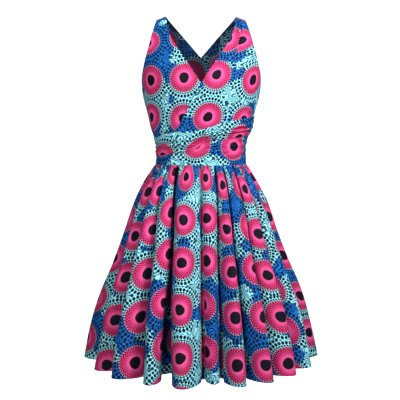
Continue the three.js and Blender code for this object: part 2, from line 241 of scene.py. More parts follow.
# Where a roundel's middle lies on each bodice piece: across from the middle of the front, or
# from a strap's upper edge, and down from the shoulder. turn is the slant of the piece's grain.
PRINT_PLACES = {
    "front_bodice_right": {"across": -53, "down": 223, "turn": 0, "skip": (-7, -7), "pull": 0.07},
    "front_bodice_left": {"across": 43, "down": 223, "turn": 13, "skip": (-13, -7), "pull": 0.155},
    "midriff_band_upper": {"across": -9, "down": 39, "turn": 0, "skip": (-9, 14)},
    "midriff_band_lower": {"across": 97, "down": 435, "turn": 4, "skip": (-10, -11)},
    "back_bodice": {"across": 500, "down": 330, "turn": 0, "skip": (3, 2)},
    "back_strap_right": {"across": 47, "down": 84},
    "back_strap_left": {"across": 60, "down": 170},
}

# Creases of the cloth on the body, from one end to the other by angle and drop. depth sinks a
# trough and step lifts the side to its left, seen along the crease, over the other side. width
# is the half width, and strong is the share of the length where the crease is strongest.
BODY_CREASES = Table(
    "angle drop to_angle to_drop depth step width strong",
    (-88, 206, -56, 190, 1.4, 0.6, 7, 0.1),
    (-88, 222, -60, 212, 1.0, 0.5, 6, 0.1),
    (88, 208, 58, 196, 1.4, -0.6, 7, 0.1),
    (86, 226, 58, 216, 0.9, -0.5, 6, 0.1),
    (-90, 290, -62, 306, 1.0, 1.8, 5, 0),
    (-90, 302, -66, 316, 0.8, 1.6, 5, 0),
    (-90, 314, -58, 322, 0.8, 1.6, 5, 0),
    (90, 250, 50, 268, 0.6, -1.4, 6, 0),
    (90, 262, 62, 274, 0.4, -1.2, 5, 0),
    (-30, 226, -22, 300, 0.8, 0.7, 9, 0.7),
    (-50, 236, -38, 306, 0.7, 0.7, 9, 0.8),
    (36, 232, 27, 282, 0.8, -0.7, 9, 0.8),
    (57, 230, 46, 274, 0.7, -0.6, 9, 0.8),
    (20, 108, 4, 172, 0.7, 0.9, 7, 0.6),
    (27, 130, 14, 200, 0.5, 0.6, 8, 0.5),
    (-22, 120, -9, 172, 0.7, -0.8, 7, 0.6),
    (112, 214, 150, 246, 1.0, 0.8, 9, 0.2),
    (-112, 216, -146, 250, 1.2, -0.8, 9, 0.2),
    (128, 300, 172, 338, 1.1, 1.0, 9, 0.5),
    (-124, 306, -166, 346, 1.0, -1.0, 9, 0.5),
    (96, 346, 150, 368, 1.2, 1.2, 7, 0.1),
    (-96, 342, -140, 370, 1.3, -1.2, 7, 0.1),
    (158, 382, 200, 390, 1.0, 0.8, 6, 0.5),
)
# Creases drawn along the midriff bands, by angle and by share of the band's height
UPPER_BAND_CREASES = Table(
    "angle share to_angle to_share depth step width strong",
    (-90, 0.16, -40, 0.3, 0.5, -1.5, 4, 0),
    (-90, 0.4, -20, 0.52, 0.8, -2.2, 4.4, 0.1),
    (-90, 0.66, -34, 0.72, 0.6, -1.7, 3.6, 0.1),
    (-70, 0.84, -14, 0.86, 0.4, -1.2, 3, 0.4),
    (-26, 0.34, 22, 0.4, 0.5, -1.5, 3, 0.6),
    (-88, 0.54, 88, 0.54, 0.8, -2.4, 3.2, 0.5),
    (-22, 0.62, 16, 0.76, 0.8, -2.2, 3.4, 0.5),
    (-16, 0.82, 20, 0.9, 0.4, -1.5, 2.8, 0.5),
    (-6, 0.14, 40, 0.22, 0.5, -1.5, 3.6, 0.5),
    (18, 0.34, 90, 0.26, 0.7, -1.9, 4, 0.8),
    (26, 0.6, 90, 0.5, 0.8, -2.1, 4, 0.9),
    (40, 0.8, 90, 0.76, 0.6, -1.8, 3.6, 1),
)
LOWER_BAND_CREASES = Table(
    "angle share to_angle to_share depth step width strong",
    (-90, 0.5, -46, 0.55, 0.4, -1.2, 3, 0.1),
    (-12, 0.3, 34, 0.4, 0.6, -1.6, 4, 0.5),
    (-4, 0.68, 44, 0.56, 0.6, -1.8, 3.8, 0.5),
    (30, 0.22, 90, 0.2, 0.6, -1.8, 4, 0.8),
    (42, 0.78, 90, 0.7, 0.6, -1.7, 4, 0.9),
    (58, 0.46, 90, 0.44, 0.5, -1.6, 3.6, 1),
    (-40, 0.6, 4, 0.78, 0.5, -1.2, 3, 0.5),
)
BAND_SPREAD = (2.1, 48)  # millimetres for a degree and for a band's height
# How strongly the creases of the body, of the bands and of the skirt are drawn
CREASE_HEIGHT = {"body": 1.5, "bands": 1.6, "skirt": 1.5}
CREASE = {"fade": 0.7, "step": 2.3, "from_side": 14}
# A soft ripple all over the bodice: waves round it, and lengths of its waves down it
RIPPLE = {"height": 0.35, "waves": 7, "slant": 23, "down": 31, "start": 1.3}
# Long soft creases in the skirt, from the waist seam's side down: the place round a panel is
# counted in folds, and width is a share of a fold.
FRONT_SKIRT_CREASES = Table(
    "fold drop to_fold to_drop depth width",
    (0.55, 20, 0.45, 330, 3, 0.09),
    (1.5, 8, 1.62, 260, 3.5, 0.08),
    (2.4, 30, 2.3, 380, 4, 0.09),
    (3.5, 0, 3.42, 170, 3, 0.08),
    (4.42, 0, 4.6, 210, 3.6, 0.07),
    (4.28, 180, 4.36, 540, -3, 0.09),
    (4.72, 240, 4.64, 540, 2.6, 0.07),
    (5.5, 0, 5.45, 250, 2.4, 0.1),
    (6.45, 0, 6.56, 150, 2.8, 0.07),
    (7.35, 0, 7.5, 300, 4, 0.08),
    (7.7, 160, 7.6, 520, 3, 0.07),
    (8.5, 10, 8.42, 280, 3.4, 0.08),
    (9.55, 20, 9.4, 350, 3, 0.09),
    (10.45, 12, 10.55, 300, 3, 0.09),
)
BACK_SKIRT_CREASES = Table(
    "fold drop to_fold to_drop depth width",
    (0.5, 10, 0.42, 300, 3, 0.09),
    (1.46, 0, 1.6, 240, 3.4, 0.08),
    (2.4, 20, 2.5, 380, 3.6, 0.09),
    (3.55, 0, 3.5, 170, 2.8, 0.08),
    (4.4, 0, 4.52, 320, 3.6, 0.08),
    (5.5, 40, 5.38, 300, 3.2, 0.09),
    (6.42, 0, 6.55, 260, 3.8, 0.08),
    (7.5, 10, 7.42, 200, 3, 0.09),
    (8.55, 0, 8.45, 330, 3.6, 0.08),
    (9.5, 20, 9.56, 260, 3, 0.09),
)
# Small gathers let into the waist seam, in an uneven round of five
GATHERS = Table(
    "step place length depth width",
    (0, 0.45, 70, 6.5, 0.055),
    (1, 0.62, 40, 4.4, 0.05),
    (2, 0.4, 100, 7.5, 0.06),
    (3, 0.55, 50, 5.2, 0.05),
    (4, 0.5, 80, 6.6, 0.055),
)
GATHERS_A_FOLD = 4
GATHER_STARTS = (-2, 6)
GATHER_FADE = 0.7
# The skirt's slow sway, in waves for a fold and lengths of its waves down the cloth
SWAY = {"height": 1.6, "waves": (5.1, 2.3), "down": (61, 97), "start": 0.7, "drops": (60, 420)}
SWAY_FROM_SEAM = 0.3
# The slit at the bottom of each fold widens towards the hem, in shares of a fold
SLIT = {"starts": 9, "width": 0.07, "width_at_hem": 0.095}
# One slit on the front opens wide on its wearer's right
OPEN_SLIT = {"fold": 4, "wider": 2.4, "drops": (160, 500)}


# ---------------------------------------------------------------------------------------------
# Sizes and colours that a user would change
# ---------------------------------------------------------------------------------------------
def length_property(name, text, default):
    return bpy.props.FloatProperty(name=name, description=text, default=default, unit="LENGTH")


def colour_property(name, text, default):
    return bpy.props.FloatVectorProperty(
        name=name, description=text, default=default, subtype="COLOR", size=3, min=0, max=1
    )


class DressSizes(bpy.types.PropertyGroup):
    """Sizes of the cloth and its sewing."""

    cloth: length_property("Cloth", "Thickness of the cotton", 0.0006)
    stitch: length_property("Stitch", "Length of one stitch", 0.0026)
    stitch_step: length_property("Stitch step", "From one stitch to the next", 0.0036)
    thread: length_property("Thread", "Thickness of the sewing thread", 0.00045)
    edge_row: length_property("Edge row", "From a finished edge to its row of stitches", 0.005)
    hem_row: length_property("Hem row", "From the hem's edge to its row of stitches", 0.014)


class PrintLook(bpy.types.PropertyGroup):
    """Sizes and colours of the printed roundels."""

    across: length_property("Across", "From one roundel to the next, across the cloth", PITCH[0] * MM)
    down: length_property("Down", "From one roundel to the next, down the cloth", PITCH[1] * MM)
    disc: length_property("Disc", "Radius of a roundel's coloured disc", 0.0435)
    aqua: colour_property("Aqua", "Ground", (0.32, 0.84, 0.97))
    blue: colour_property("Blue", "Patches of the ground", (0.006, 0.16, 0.6))
    line: colour_property("Line", "Drops and lines on the ground", (0.0, 0.008, 0.016))
    pink: colour_property("Pink", "The discs", (0.56, 0.004, 0.115))
    glow: colour_property("Glow", "The light ring round an eye", (0.8, 0.1, 0.32))
    pale: colour_property("Pale", "Dots on the discs", (0.9, 0.68, 0.76))
    eye: colour_property("Eye", "The dark eye of a disc", (0.006, 0.005, 0.011))
    thread: colour_property("Thread", "Sewing thread", (0.03, 0.16, 0.3))


class StageLook(bpy.types.PropertyGroup):
    """The camera and the plain studio round the dress."""

    distance: length_property("Distance", "From the camera to the dress's axis", 2.6)
    lens: bpy.props.FloatProperty(name="Lens", description="Focal length", default=83.57)
    eye_drop: length_property("Camera drop", "Camera below the shoulder tops", 0.2425)
    tilt: bpy.props.FloatProperty(
        name="Tilt", description="Camera's tilt down", default=math.radians(5.83), subtype="ANGLE"
    )
    aside: length_property("Aside", "Camera to the wearer's right of the mid-line", 0.0028)
    floor_drop: length_property("Floor", "Floor below the shoulder tops", 1.38)
    key: bpy.props.FloatProperty(name="Key", description="Key light", default=27, unit="POWER")
    fill: bpy.props.FloatProperty(name="Fill", description="Fill light", default=11, unit="POWER")
    back: bpy.props.FloatProperty(name="Back", description="Back light", default=25, unit="POWER")
    sky: bpy.props.FloatProperty(name="Sky", description="Light from all round", default=0.1)


# ---------------------------------------------------------------------------------------------
# The form the bodice is filled out to
# ---------------------------------------------------------------------------------------------
def torso_point(angle, drop):
    """Points on the form, by the angle from the middle of the front and the drop."""
    angle, drop = np.broadcast_arrays(np.asarray(angle, float), np.asarray(drop, float))
    turn = np.radians(angle)
    in_front = np.cos(turn) >= 0
    width = TORSO.read(drop, "width")
    depth = np.where(in_front, TORSO.read(drop, "front"), TORSO.read(drop, "back"))
    across = (np.abs(angle) - BUST["angle"]) / BUST["spread_angle"]
    down = (drop - BUST["drop"]) / BUST["spread"]
    bust = np.where(in_front, BUST["rise"] * np.exp(-(across**2) - down**2), 0)
    x = width * np.sin(turn)
    y = -(depth + bust) * np.cos(turn)
    slopes = SHOULDER["slope"] * np.maximum(0, 1 - drop / SHOULDER["ends"])
    z = -drop - slopes * np.maximum(0, np.abs(x) - SHOULDER["inner"])
    return np.stack([x, y, z], axis=-1)


def unit(vectors):
    return vectors / np.maximum(np.linalg.norm(vectors, axis=-1, keepdims=True), 1e-9)


def torso_normal(angle, drop, near=1):
    across = torso_point(angle + near, drop) - torso_point(angle - near, drop)
    down = torso_point(angle, drop + near) - torso_point(angle, np.maximum(0, drop - near))
    return unit(np.cross(down, across))


def front_angle(x, drop):
    share = np.clip(x / TORSO.read(drop, "width"), -1, 1)
    return np.degrees(np.arcsin(share))


def smoothstep(value, low, high):
    t = np.clip((value - low) / (high - low), 0, 1)
    return t * t * (3 - 2 * t)


def lerp(a, b, t):
    return a + (b - a) * t


def refine(levels, parts):
    """The levels with each step between them divided into equal parts."""
    places = np.linspace(0, len(levels) - 1, (len(levels) - 1) * parts + 1)
    return np.interp(places, np.arange(len(levels)), levels)


# Where the lengths of cloth on the form are measured. The length down it is taken at one angle.
ARC_STEP = {"angle": 2.0, "drop": 5.0}
ARC_ANGLES = np.arange(-200, 561, ARC_STEP["angle"])
ARC_DROPS = np.arange(0, WAIST_DROP + 6, ARC_STEP["drop"])
DOWN_AT = 25


def body_lengths():
    """Lengths of cloth on the form: round it from the mid-line of the front, and down it."""
    grid = torso_point(*np.meshgrid(ARC_ANGLES, ARC_DROPS))
    round_it = np.linalg.norm(np.diff(grid, axis=1), axis=-1)
    arcs = np.concatenate([np.zeros((len(ARC_DROPS), 1)), np.cumsum(round_it, axis=1)], axis=1)
    arcs -= arcs[:, [int(np.argmin(np.abs(ARC_ANGLES)))]]
    down_it = np.linalg.norm(np.diff(torso_point(DOWN_AT, ARC_DROPS), axis=0), axis=-1)
    return arcs, np.concatenate([[0], np.cumsum(down_it)])


BODY_ARCS, BODY_DOWN = body_lengths()


def body_cloth(angle, drop, across, down, turn, skip, pull=0):
    """Where a point of the form lies on the flat cloth, in millimetres. across and down move
    the piece over the print, turn, in degrees, is the slant of its grain, and skip is a number
    of whole roundels, across and down, that moves the piece to other patches of blue. pull is
    how far up the cloth is drawn for each millimetre to the wearer's left."""
    x, y = form_lengths(angle, drop)
    x = x * BODICE_EASE - across
    y = -y * BODICE_EASE + down - pull * x
    cos, sin = math.cos(math.radians(turn)), math.sin(math.radians(turn))
    cloth = np.stack([x * cos - y * sin, x * sin + y * cos], axis=-1)
    return cloth + np.multiply(skip, PITCH)


def form_lengths(angle, drop):
    """Length of cloth on the form from the middle of the front, and from the shoulder down."""
    last = 1.001  # keeps the last point inside the last step
    i = np.clip(drop / ARC_STEP["drop"], 0, len(ARC_DROPS) - last)
    j = (angle - ARC_ANGLES[0]) / ARC_STEP["angle"]
    j = np.clip(j, 0, len(ARC_ANGLES) - last)
    i0, j0 = i.astype(int), j.astype(int)
    ti, tj = i - i0, j - j0
    above = lerp(BODY_ARCS[i0, j0], BODY_ARCS[i0, j0 + 1], tj)
    below = lerp(BODY_ARCS[i0 + 1, j0], BODY_ARCS[i0 + 1, j0 + 1], tj)
    return lerp(above, below, ti), np.interp(drop, ARC_DROPS, BODY_DOWN)


def creases(table, first, second, spread=(1, 1)):
    """Height of a table's creases at points given by the same two coordinates as their ends.
    spread turns the coordinates into millimetres."""
    names = list(table.columns)
    height = np.zeros(np.broadcast(first, second).shape)
    for row in table.rows:
        start = np.array([row[names[0]] * spread[0], row[names[1]] * spread[1]])
        run = np.array([row[names[2]] * spread[0], row[names[3]] * spread[1]]) - start
        x, y = first * spread[0] - start[0], second * spread[1] - start[1]
        t = np.clip((x * run[0] + y * run[1]) / (run @ run), 0, 1)
        x, y = x - t * run[0], y - t * run[1]
        beside = (x * run[1] - y * run[0]) / math.hypot(*run) / row["width"]
        away = np.hypot(x, y) / row["width"]
        weaker = np.abs(t - row["strong"]) / max(row["strong"], 1 - row["strong"])
        fade = np.sin(np.pi * (0.5 + weaker / 2)) ** CREASE["fade"]
        shape = -row["depth"] + row["step"] * beside * CREASE["step"]
        height += shape * fade * np.exp(-(away**2))
    return height


def body_relief(angle, drop):
    """Folds and drag lines of the cloth on the body, positive outwards."""
    wrapped = np.where(angle > 180, angle - 360, angle)
    soft = np.sin(np.radians(wrapped) * RIPPLE["waves"] + drop / RIPPLE["slant"])
    soft = RIPPLE["height"] * soft * np.sin(drop / RIPPLE["down"] + RIPPLE["start"])
    flat = smoothstep(np.abs(np.abs(wrapped) - 90), 0, CREASE["from_side"])
    drawn = CREASE_HEIGHT["body"] * creases(BODY_CREASES, wrapped, drop, BODY_SPREAD)
    return soft + flat * drawn


# ---------------------------------------------------------------------------------------------
# Meshes
# ---------------------------------------------------------------------------------------------
def make_mesh(name, points, faces, corners, inside, materials):
    """A mesh object at the origin from points in millimetres. corners holds each face corner's
    place on the flat cloth and inside marks the faces of the cloth's reverse side."""
    mesh = bpy.data.meshes.new(name)
    mesh.from_pydata((points * MM).tolist(), [], faces.tolist())
    mesh.uv_layers.new(name="cloth").data.foreach_set("uv", (corners * MM).ravel())
    for material in materials:
        mesh.materials.append(material)
    mesh.polygons.foreach_set("material_index", inside.astype(np.int32))
    mesh.shade_smooth()
    mesh.set_sharp_from_angle(angle=SHARP_EDGE)
    obj = bpy.data.objects.new(name, mesh)
    bpy.context.scene.collection.objects.link(obj)
    return obj


def shell(name, points, normals, uv, outer, thickness, cuts=()):
    """A thin closed sheet of cloth over a grid. outer is how far its right side lies out, and
    cuts are the columns where the print jumps, each of which has two columns in uv."""
    rows, columns = points.shape[:2]
    outer = np.broadcast_to(outer, (rows, columns))[..., None]
    verts = np.stack([points + normals * outer, points + normals * (outer - thickness)])
    count = rows * columns
    at = np.arange(count).reshape(rows, columns)
    face = quads(at)

    # Each corner's place in uv. At a cut, the quads that start there take its second column and
    # those that end there its first.
    start = np.arange(columns) + np.searchsorted(cuts, np.arange(columns), side="right")
    printed = np.arange(uv.shape[0] * uv.shape[1]).reshape(uv.shape[:2])
    first = printed[:, start]
    second = printed[:, np.concatenate([[0], start[:-1] + 1])]
    design = np.stack([first[:-1, :-1], first[1:, :-1], second[1:, 1:], second[:-1, 1:]], axis=-1)
    design = design.reshape(-1, 4)

    border = np.concatenate([at[:, 0], at[-1, 1:], at[::-1, -1][1:], at[0, ::-1][1:-1]])
    after = np.roll(border, -1)
    rim = np.stack([border, border + count, after + count, after], axis=-1)
    rim_design = np.stack([first.ravel()[border]] * 4, axis=-1)
    reverse = face[:, ::-1] + count
    if faces_in(verts[0], normals):
        face, reverse, rim = face[:, ::-1], reverse[:, ::-1], rim[:, ::-1]
        design = design[:, ::-1]
    faces = np.concatenate([face, reverse, rim])
    corners = uv.reshape(-1, 2)[np.concatenate([design, design[:, ::-1], rim_design]).ravel()]
    inside = np.repeat([0, 1, 0], [len(face), len(face), len(rim)])
    # The reverse faces take the copy of the print darkened with painted shade
    cloth = [bpy.data.materials["roundel_cotton"], bpy.data.materials["roundel_cotton_reverse"]]
    return make_mesh(name, verts.reshape(-1, 3), faces, corners, inside, cloth)


def quads(at):
    return np.stack([at[:-1, :-1], at[1:, :-1], at[1:, 1:], at[:-1, 1:]], axis=-1).reshape(-1, 4)


def faces_in(points, normals):
    """Whether the grid's quads, taken down and then across, turn away from its normals."""
    down, across = points[1:, :-1] - points[:-1, :-1], points[:-1, 1:] - points[:-1, :-1]
    return (np.cross(down, across) * normals[:-1, :-1]).sum() < 0


def grid_area(points):
    """Area of a grid of points in square metres."""
    a, b = points[1:, :-1] - points[:-1, :-1], points[:-1, 1:] - points[:-1, :-1]
    return float(np.linalg.norm(np.cross(a, b), axis=-1).sum()) * MM * MM


PATHS = []  # rows of stitching: points along each, in millimetres, kept as the pieces are made


def stitch_along(points, normals, outer):
    lift = np.broadcast_to(outer, points.shape[:1]) + STITCH_LIFT
    PATHS.append(points + normals * lift[:, None])


def stitch_edges(points, normals, outer, inset):
    """Rows of stitches that lie the inset from a piece's first and last columns."""
    rows = np.arange(len(points))
    arc = lengths(points, axis=1)
    near = np.argmin(np.abs(arc - inset), axis=1)
    far = np.argmin(np.abs(arc[:, -1:] - arc - inset), axis=1)
    for column in (near, far):
        stitch_along(points[rows, column], normals[rows, column], outer[rows, column])


def lengths(points, axis):
    """Length along a grid's rows or columns up to each point."""
    steps = np.linalg.norm(np.diff(points, axis=axis), axis=-1)
    start = np.zeros_like(np.take(steps, [0], axis=axis))
    return np.concatenate([start, np.cumsum(steps, axis=axis)], axis=axis)


def finish_piece(obj, nodes, area):
    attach(obj, BODY)
    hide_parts(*nodes)


# ---------------------------------------------------------------------------------------------
# Bodice pieces
# ---------------------------------------------------------------------------------------------
FINE = 5  # parts that each step between the solids' levels is divided into
FRONT_COLUMNS = 110
FRONT_LAST_STEPS = 4  # from the last level down to the edge under the band
BAND_GRID = {"columns": 181, "rows": 49}
BACK_GRID = {"columns": 161, "rows": 61}
STRAP_GRID = {"columns": 25, "rows": 121}


def front_grid(side):
    levels = refine(FRONT_LEVELS, FINE)
    share = np.linspace(0, 1, FRONT_COLUMNS + 1)[None, :]

    def angle_at(drop):
        outer = np.minimum(front_angle(FRONT_EDGES.read(drop, "outer"), drop), 90 - SIDE_GAP)
        inner = front_angle(FRONT_EDGES.read(drop, "inner"), drop)
        return side * lerp(outer, inner, share)

    upper = np.repeat(levels[:, None], FRONT_COLUMNS + 1, axis=1)
    down = np.linspace(0, 1, FRONT_LAST_STEPS * FINE + 1)[1:, None]
    nominal = np.repeat(lerp(levels[-1], FRONT_EDGES.by[-1], down), FRONT_COLUMNS + 1, axis=1)
    end = BANDS.read(angle_at(nominal), "top") + TUCK
    drop = np.concatenate([upper, lerp(levels[-1], end, down)])
    return angle_at(drop), drop, np.broadcast_to(share, drop.shape)


def front_lift(side, share, drop):
    if side < 0:
        return np.zeros(drop.shape)
    level = np.minimum(drop, FRONT_LEVELS[-1])
    across = (share - SHOULDER_PLEAT["at"]) / SHOULDER_PLEAT["share"]
    fades = np.sqrt(np.maximum(0, 1 - level / SHOULDER_PLEAT["ends"]))
    starts = smoothstep(level, 0, SHOULDER_PLEAT["starts"])
    grooves = 0
    for row in PLEAT_GROOVES.rows:
        grooves += row["depth"] * np.exp(-(((across - row["place"]) / row["width"]) ** 2))
    lift = LAYER * smoothstep(level, 0, LAP_RISE)
    return lift - SHOULDER_PLEAT["depth"] * grooves * fades * starts


def front_cloth(side, name, angle, drop):
    """Places on the flat cloth, with the print's jump at the shoulder pleat, and its column."""
    uv = body_cloth(angle, drop, **PRINT_PLACES[name])
    if side < 0:
        return uv, ()
    pleat = round(SHOULDER_PLEAT["at"] * FRONT_COLUMNS)
    outer = uv[:, : pleat + 1].copy()
    jumps = 1 - smoothstep(drop[:, : pleat + 1], PLEAT_TUCK["whole_to"], PLEAT_TUCK["ends"])
    outer[..., 0] += PLEAT_TUCK["cloth"] * jumps
    return np.concatenate([outer, uv[:, pleat:]], axis=1), (pleat,)


class DRESS_OT_front_bodice(bpy.types.Operator):
    """Makes the two lapped front pieces"""

    bl_idname = "dress.front_bodice"
    bl_label = "Front bodice"

    def execute(self, context):
        sizes = context.scene.dress_sizes
        for side, name in ((-1, "front_bodice_right"), (1, "front_bodice_left")):
            angle, drop, share = front_grid(side)
            points, normals = torso_point(angle, drop), torso_normal(angle, drop)
            points[0, :, 1] -= SEAM / 2
            outer = front_lift(side, share, drop) + WALL + body_relief(angle, drop)
            uv, cuts = front_cloth(side, name, angle, drop)
            obj = shell(name, points, normals, uv, outer, sizes.cloth / MM, cuts)
            finish_piece(obj, [name], grid_area(points))
            stitch_edges(points, normals, outer, sizes.edge_row / MM)
        return {"FINISHED"}


class DRESS_OT_midriff_bands(bpy.types.Operator):
    """Makes the two draped bands round the midriff"""

    bl_idname = "dress.midriff_bands"
    bl_label = "Midriff bands"

    def execute(self, context):
        sizes = context.scene.dress_sizes
        angle = np.linspace(-90 + SIDE_GAP, 90 - SIDE_GAP, BAND_GRID["columns"])[:, None]
        top, split = BANDS.read(angle, "top"), BANDS.read(angle, "split")
        share = np.linspace(0, 1, BAND_GRID["rows"])[None, :]
        upper = lerp(top, split, share)
        self.band("midriff_band_upper", UPPER_BAND, UPPER_BAND_CREASES, angle, share, upper, sizes)
        under = lerp(split - TUCK, split + BAND_LIP, np.array([[0, 0.5]]))
        lower = np.concatenate([under, lerp(split + BAND_LIP, WAIST_DROP, share)], axis=1)
        share = np.concatenate([[[0, 0]], share], axis=1)
        self.band("midriff_band_lower", LOWER_BAND, LOWER_BAND_CREASES, angle, share, lower, sizes)
        return {"FINISHED"}

    def band(self, name, band, table, angle, share, drop, sizes):
        angle, share = np.broadcast_to(angle, drop.shape), np.broadcast_to(share, drop.shape)
        points, normals = torso_point(angle, drop), torso_normal(angle, drop)
        points[..., 2] = np.maximum(points[..., 2], -WAIST_DROP)
        rolls = band["roll"] * np.sin(2 * np.pi * band["rolls"] * share + np.radians(angle))
        from_side = 90 - np.abs(angle)
        puffed = lerp(BAND_SIDES["puff"], 1, smoothstep(from_side, 0, BAND_SIDES["puff_over"]))
        drape = np.sin(np.pi * share) * (band["puff"] + rolls) * puffed
        edge = np.sqrt(np.clip(BAND_EDGE * share * (1 - share), 0, 1))
        creased = lerp(BAND_SIDES["crease"], 1, smoothstep(from_side, 0, BAND_SIDES["crease_over"]))
        drawn = CREASE_HEIGHT["bands"] * creases(table, angle, share, BAND_SPREAD) * edge * creased
        outer = band["layers"] * LAYER + WALL + drape + drawn + body_relief(angle, drop)
        uv = body_cloth(angle, drop, **PRINT_PLACES[name])
        if name == "midriff_band_upper":  # its grain follows its slope
            middle = np.broadcast_to((drop[:, :1] + drop[:, -1:]) / 2, drop.shape)
            uv[..., 1] += form_lengths(angle, middle)[1] * BODICE_EASE
        obj = shell(name, points, normals, uv, outer, sizes.cloth / MM)
        area = grid_area(points + normals * outer[..., None])
        finish_piece(obj, [name], area)


class DRESS_OT_back_bodice(bpy.types.Operator):
    """Makes the low back of the bodice"""

    bl_idname = "dress.back_bodice"
    bl_label = "Back bodice"

    def execute(self, context):
        sizes = context.scene.dress_sizes
        name = "back_bodice"
        angle = np.linspace(90 + SIDE_GAP, 270 - SIDE_GAP, BACK_GRID["columns"])[None, :]
        top = lerp(UNDERARM_DROP, BACK_MIDDLE_DROP, np.cos(np.radians(angle)) ** 2)
        drop = lerp(top, WAIST_DROP, np.linspace(0, 1, BACK_GRID["rows"])[:, None])
        angle = np.broadcast_to(angle, drop.shape)
        points, normals = torso_point(angle, drop), torso_normal(angle, drop)
        outer = LAYER + WALL + body_relief(angle, drop)
        uv = body_cloth(angle, drop, **PRINT_PLACES[name])
        obj = shell(name, points, normals, uv, outer, sizes.cloth / MM)
        area = grid_area(points)
        finish_piece(obj, [name], area)
        middle = (drop - top)[:, BACK_GRID["columns"] // 2]
        row = int(np.argmin(np.abs(middle - sizes.edge_row / MM)))
        stitch_along(points[row], normals[row], outer[row])
        return {"FINISHED"}


class DRESS_OT_back_straps(bpy.types.Operator):
    """Makes the two straps that cross on the back"""

    bl_idname = "dress.back_straps"
    bl_label = "Back straps"

    def execute(self, context):
        sizes = context.scene.dress_sizes
        along = np.linspace(0, 1, STRAP_GRID["rows"])[:, None]
        share = np.linspace(0, 1, STRAP_GRID["columns"])[None, :]
        edges = {name: STRAP_EDGES.read(along, name) for name in STRAP_EDGES.columns}
        drop = lerp(edges["upper_drop"], edges["lower_drop"], share)
        for side, name in ((-1, "back_strap_right"), (1, "back_strap_left")):
            x = side * lerp(edges["upper_x"], edges["lower_x"], share)
            angle = 180 - front_angle(x, drop)
            points, normals = torso_point(angle, drop), torso_normal(angle, drop)
            points[0, :, 1] += SEAM / 2
            lift = np.zeros(drop.shape)
            if side > 0:
                away = np.abs(along - STRAP["crossing"])
                lift = lift + LAYER * (1 - smoothstep(away, STRAP["lap_flat"], STRAP["lap_ends"]))
            outer = lift + WALL
            length = lengths(points[:, STRAP_GRID["columns"] // 2], axis=0)
            width = np.linalg.norm(points[:, -1] - points[:, 0], axis=-1)
            across = share * width[:, None] - PRINT_PLACES[name]["across"]
            down = PRINT_PLACES[name]["down"] - length[:, None]
            uv = np.stack(np.broadcast_arrays(across, down), axis=-1)
            obj = shell(name, points, normals, uv, outer, sizes.cloth / MM)
            finish_piece(obj, [name], grid_area(points))
            stitch_edges(points, normals, outer, sizes.edge_row / MM)
        return {"FINISHED"}


# ---------------------------------------------------------------------------------------------
# Skirt
# ---------------------------------------------------------------------------------------------
FOLD_COLUMNS = 24
SKIRT_PARTS = 11
CUT_WAIST = 0.7  # width of a panel's cut at the waist, as a share of its hem
GATHER = {"draw": 1.4, "reach": 75}  # how far the gathers draw the print together
ROUNDELS_APART = 2 * PITCH[0]  # from crest to crest


def skirt_points(folds, place, drop):
    """Points of the folds, by the place round the panel counted in folds and by the drop."""
    i = np.clip(np.floor(place).astype(int), 0, len(folds.by) - 2)
    across = place - i
    start = {name: column[i] for name, column in folds.columns.items()}
    end = {name: column[i + 1] for name, column in folds.columns.items()}
    swing = 1 - (1 - drop / SKIRT_DROP) ** FOLD_SWING
    crown = (1 - np.cos(2 * np.pi * across)) / 2
    sides = start["pinch"] * np.sin(2 * np.pi * across) / (2 * np.pi)
    t = across - sides + start["lean"] * crown * swing
    at_waist, at_hem = lerp(start["waist"], end["waist"], t), lerp(start["hem"], end["hem"], t)
    angle = np.radians(lerp(at_waist, at_hem, swing))
    valley = lerp(start["valley"], end["valley"], across)
    depth = SKIRT.read(drop, "fold") * (valley * (1 - crown) + start["crest"] * crown)
    width = SKIRT.read(drop, "width") - depth
    side = np.where(np.cos(angle) >= 0, SKIRT.read(drop, "front"), SKIRT.read(drop, "back"))
    x, y = width * np.sin(angle), (depth - side) * np.cos(angle)
    return np.stack([x, y, -WAIST_DROP - SEAM - drop], axis=-1)


def skirt_relief(table, place, drop, folds):
    """Gathers at the seam and soft creases down the skirt, positive outwards."""
    relief = np.zeros(place.shape)
    for row in table.rows:
        t = np.clip((drop - row["drop"]) / (row["to_drop"] - row["drop"]), 0, 1)
        middle = lerp(row["fold"], row["to_fold"], t)
        depth = CREASE_HEIGHT["skirt"] * row["depth"] * np.sqrt(np.sin(np.pi * t))
        relief -= depth * np.exp(-(((place - middle) / row["width"]) ** 2))
    nearest = np.round(place).astype(int)
    away = (place - nearest) / lerp(SLIT["width"], SLIT["width_at_hem"], drop / SKIRT_DROP)
    if folds is FRONT_FOLDS:
        opens = (nearest == OPEN_SLIT["fold"]) & (away < 0)
        away /= lerp(1, OPEN_SLIT["wider"], opens * smoothstep(drop, *OPEN_SLIT["drops"]))
    relief -= folds["slit"][nearest] * smoothstep(drop, 0, SLIT["starts"]) * np.exp(-(away**2))
    for k in range(GATHERS_A_FOLD * (len(folds.by) - 1)):
        row = GATHERS.rows[k % len(GATHERS.rows)]
        at = (k + row["place"]) / GATHERS_A_FOLD
        fade = np.clip(1 - drop / row["length"], 0, 1) ** GATHER_FADE
        start = smoothstep(drop, *GATHER_STARTS)
        relief -= row["depth"] * fade * start * np.exp(-(((place - at) / row["width"]) ** 2))
    sway = np.sin(place * SWAY["waves"][0] + drop / SWAY["down"][0])
    sway = sway * np.sin(place * SWAY["waves"][1] - drop / SWAY["down"][1] + SWAY["start"])
    from_seam = smoothstep(np.minimum(place, len(folds.by) - 1 - place), 0, SWAY_FROM_SEAM)
    return relief + SWAY["height"] * sway * smoothstep(drop, *SWAY["drops"]) * from_seam


